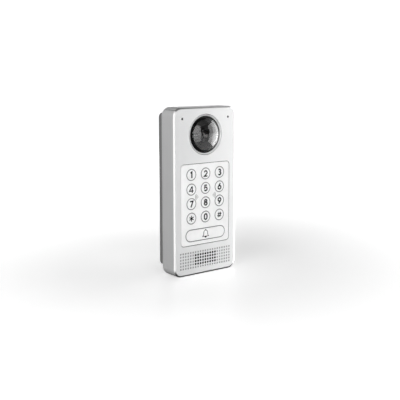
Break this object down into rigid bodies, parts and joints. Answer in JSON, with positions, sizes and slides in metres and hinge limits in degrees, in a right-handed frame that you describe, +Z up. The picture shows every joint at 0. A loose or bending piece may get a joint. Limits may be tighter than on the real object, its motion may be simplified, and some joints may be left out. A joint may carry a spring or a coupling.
{
  "type": "video doorbell",
  "caption": "Wall-mounted video door station with a domed camera, lit keypad, long bell key, speaker grille and a wiring bay behind.",
  "frame": {"origin": "centre of the rear face that rests on the wall", "axes": "+Z up, +Y into the wall, +X to the right as seen by a visitor"},
  "size_m": [0.08, 0.0418, 0.173],
  "materials": {
    "casing": "satin",
    "shell": "matte",
    "bracket": "matte",
    "panel": "satin",
    "key_cap": "satin",
    "light_guide": "satin",
    "bezel": "satin",
    "black_trim": "matte",
    "clear_dome": "polished",
    "seal": "matte",
    "black_anodised": "satin",
    "lens_glass": "polished",
    "board": "satin",
    "sheet_metal": "satin",
    "ribbon": "satin",
    "black_part": "matte",
    "lamp": "gloss",
    "copper": "satin",
    "cone": "matte",
    "dust_mesh": "matte",
    "magnet": "satin",
    "sensor": "gloss",
    "can": "satin",
    "socket": "satin",
    "jack": "satin",
    "terminal": "satin",
    "lead": "matte",
    "screw": "satin"
  },
  "bodies": {
    "unit": {"back_shell": "shell", "backlights": "lamp", "board_connector": "socket", "board_screws": "screw", "board_switches": "black_part", "camera_board": "board", "camera_bracket": "sheet_metal", "camera_ribbon": "ribbon", "capacitors": "can", "case_screws": "screw", "case_seal": "seal", "dome_cover": "clear_dome", "dome_ring": "black_trim", "dome_seal": "seal", "front_casing": "casing", "front_lens": "lens_glass", "key_light_guide": "light_guide", "key_switches": "black_part", "keypad_board": "board", "keypad_panel": "panel", "lead_sockets": "socket", "lens_baffle": "black_trim", "lens_barrel": "black_anodised", "lens_bezel": "bezel", "light_sensor": "sensor", "lock_screws": "screw", "main_board": "board", "microphone": "sheet_metal", "microphone_boot": "seal", "microphone_lead": "lead", "network_jack": "jack", "processor": "black_part", "rfid_antenna": "copper", "sensor_lead": "lead", "shield_can": "sheet_metal", "speaker_basket": "black_part", "speaker_clamp": "sheet_metal", "speaker_cone": "cone", "speaker_lead": "lead", "speaker_magnet": "magnet", "speaker_mesh": "dust_mesh", "speaker_seal": "seal", "terminal_headers": "terminal", "terminal_plugs": "terminal", "wall_bracket": "bracket"},
    "key_1_body": {"key_1": "key_cap"},
    "key_2_body": {"key_2": "key_cap"},
    "key_3_body": {"key_3": "key_cap"},
    "key_4_body": {"key_4": "key_cap"},
    "key_5_body": {"key_5": "key_cap"},
    "key_6_body": {"key_6": "key_cap"},
    "key_7_body": {"key_7": "key_cap"},
    "key_8_body": {"key_8": "key_cap"},
    "key_9_body": {"key_9": "key_cap"},
    "key_star_body": {"key_star": "key_cap"},
    "key_0_body": {"key_0": "key_cap"},
    "key_hash_body": {"key_hash": "key_cap"},
    "bell_key_body": {"bell_key": "key_cap"},
    "reset_button_body": {"reset_button": "black_part"},
    "tamper_plunger_body": {"tamper_plunger": "socket"}
  },
  "joints": [
    {"name": "key_1_press", "type": "slide", "parent": "unit", "child": "key_1_body", "axis": [0, 1, 0], "range_m": [0, 0.0004], "stiffness_N_per_m": 500},
    {"name": "key_2_press", "type": "slide", "parent": "unit", "child": "key_2_body", "axis": [0, 1, 0], "range_m": [0, 0.0004], "stiffness_N_per_m": 500},
    {"name": "key_3_press", "type": "slide", "parent": "unit", "child": "key_3_body", "axis": [0, 1, 0], "range_m": [0, 0.0004], "stiffness_N_per_m": 500},
    {"name": "key_4_press", "type": "slide", "parent": "unit", "child": "key_4_body", "axis": [0, 1, 0], "range_m": [0, 0.0004], "stiffness_N_per_m": 500},
    {"name": "key_5_press", "type": "slide", "parent": "unit", "child": "key_5_body", "axis": [0, 1, 0], "range_m": [0, 0.0004], "stiffness_N_per_m": 500},
    {"name": "key_6_press", "type": "slide", "parent": "unit", "child": "key_6_body", "axis": [0, 1, 0], "range_m": [0, 0.0004], "stiffness_N_per_m": 500},
    {"name": "key_7_press", "type": "slide", "parent": "unit", "child": "key_7_body", "axis": [0, 1, 0], "range_m": [0, 0.0004], "stiffness_N_per_m": 500},
    {"name": "key_8_press", "type": "slide", "parent": "unit", "child": "key_8_body", "axis": [0, 1, 0], "range_m": [0, 0.0004], "stiffness_N_per_m": 500},
    {"name": "key_9_press", "type": "slide", "parent": "unit", "child": "key_9_body", "axis": [0, 1, 0], "range_m": [0, 0.0004], "stiffness_N_per_m": 500},
    {"name": "key_star_press", "type": "slide", "parent": "unit", "child": "key_star_body", "axis": [0, 1, 0], "range_m": [0, 0.0004], "stiffness_N_per_m": 500},
    {"name": "key_0_press", "type": "slide", "parent": "unit", "child": "key_0_body", "axis": [0, 1, 0], "range_m": [0, 0.0004], "stiffness_N_per_m": 500},
    {"name": "key_hash_press", "type": "slide", "parent": "unit", "child": "key_hash_body", "axis": [0, 1, 0], "range_m": [0, 0.0004], "stiffness_N_per_m": 500},
    {"name": "bell_key_press", "type": "slide", "parent": "unit", "child": "bell_key_body", "axis": [0, 1, 0], "range_m": [0, 0.0004], "stiffness_N_per_m": 1000},
    {"name": "reset_button_press", "type": "slide", "parent": "unit", "child": "reset_button_body", "axis": [0, -1, 0], "range_m": [0, 0.0004], "stiffness_N_per_m": 500},
    {"name": "tamper_plunger_press", "type": "slide", "parent": "unit", "child": "tamper_plunger_body", "axis": [0, -1, 0], "range_m": [0, 0.0004], "stiffness_N_per_m": 500}
  ]
}
